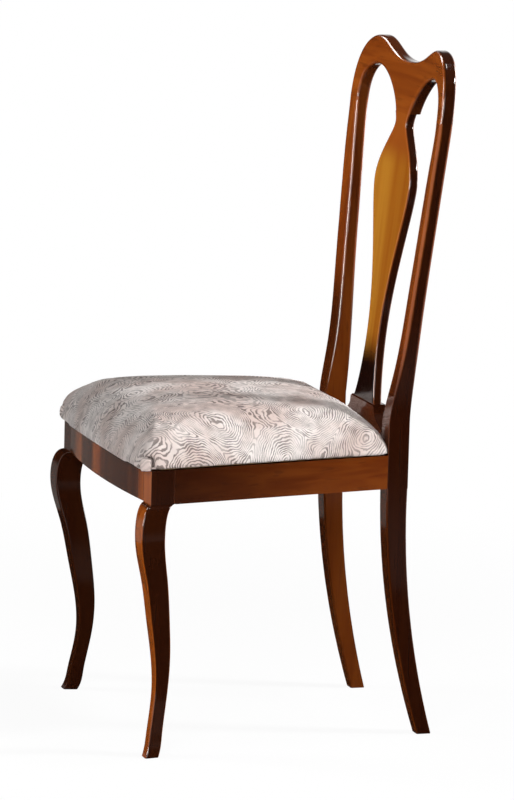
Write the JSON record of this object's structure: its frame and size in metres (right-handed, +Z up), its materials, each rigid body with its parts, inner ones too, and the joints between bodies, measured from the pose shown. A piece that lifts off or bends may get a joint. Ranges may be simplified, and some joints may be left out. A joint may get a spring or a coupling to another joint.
{
  "type": "dining chair",
  "caption": "Wooden side chair with cabriole front legs, a splayed humped back with a vase-shaped splat, and a crowned upholstered seat.",
  "frame": {"origin": "on the floor, under the middle of the chair's box", "axes": "+Z up, the chair faces -Y, +X is the sitter's left"},
  "size_m": [0.5134, 0.4908, 1.0165],
  "materials": {
    "walnut_frame": "brown walnut stain under gloss lacquer",
    "splat_veneer": "amber figured veneer under gloss lacquer",
    "beech": "bare beech",
    "plywood": "bare plywood",
    "foam": "upholstery foam",
    "seat_fabric": "silver-grey jacquard",
    "dust_cloth": "black non-woven cloth",
    "steel": "zinc-plated"
  },
  "bodies": {
    "root": {"front_leg_left": "walnut_frame", "front_leg_right": "walnut_frame", "rear_post_left": "walnut_frame", "rear_post_right": "walnut_frame", "side_rail_left": "walnut_frame", "side_rail_right": "walnut_frame", "front_rail": "walnut_frame", "rear_rail": "walnut_frame", "crest_rail": "walnut_frame", "back_splat": "walnut_frame", "splat_veneer": "splat_veneer", "splat_shoe": "walnut_frame", "corner_block_front_left": "beech", "corner_block_front_right": "beech", "corner_block_rear_left": "beech", "corner_block_rear_right": "beech", "corner_block_screws": "steel", "seat_screws": "steel", "front_rail_dowels": "beech", "side_rail_front_dowels": "beech", "side_rail_rear_dowels": "beech", "rear_rail_dowels": "beech", "crest_dowels": "beech", "shoe_dowels": "beech", "seat_board": "plywood", "seat_foam": "foam", "seat_cover": "seat_fabric", "dust_cover": "dust_cloth"}
  },
  "joints": []
}
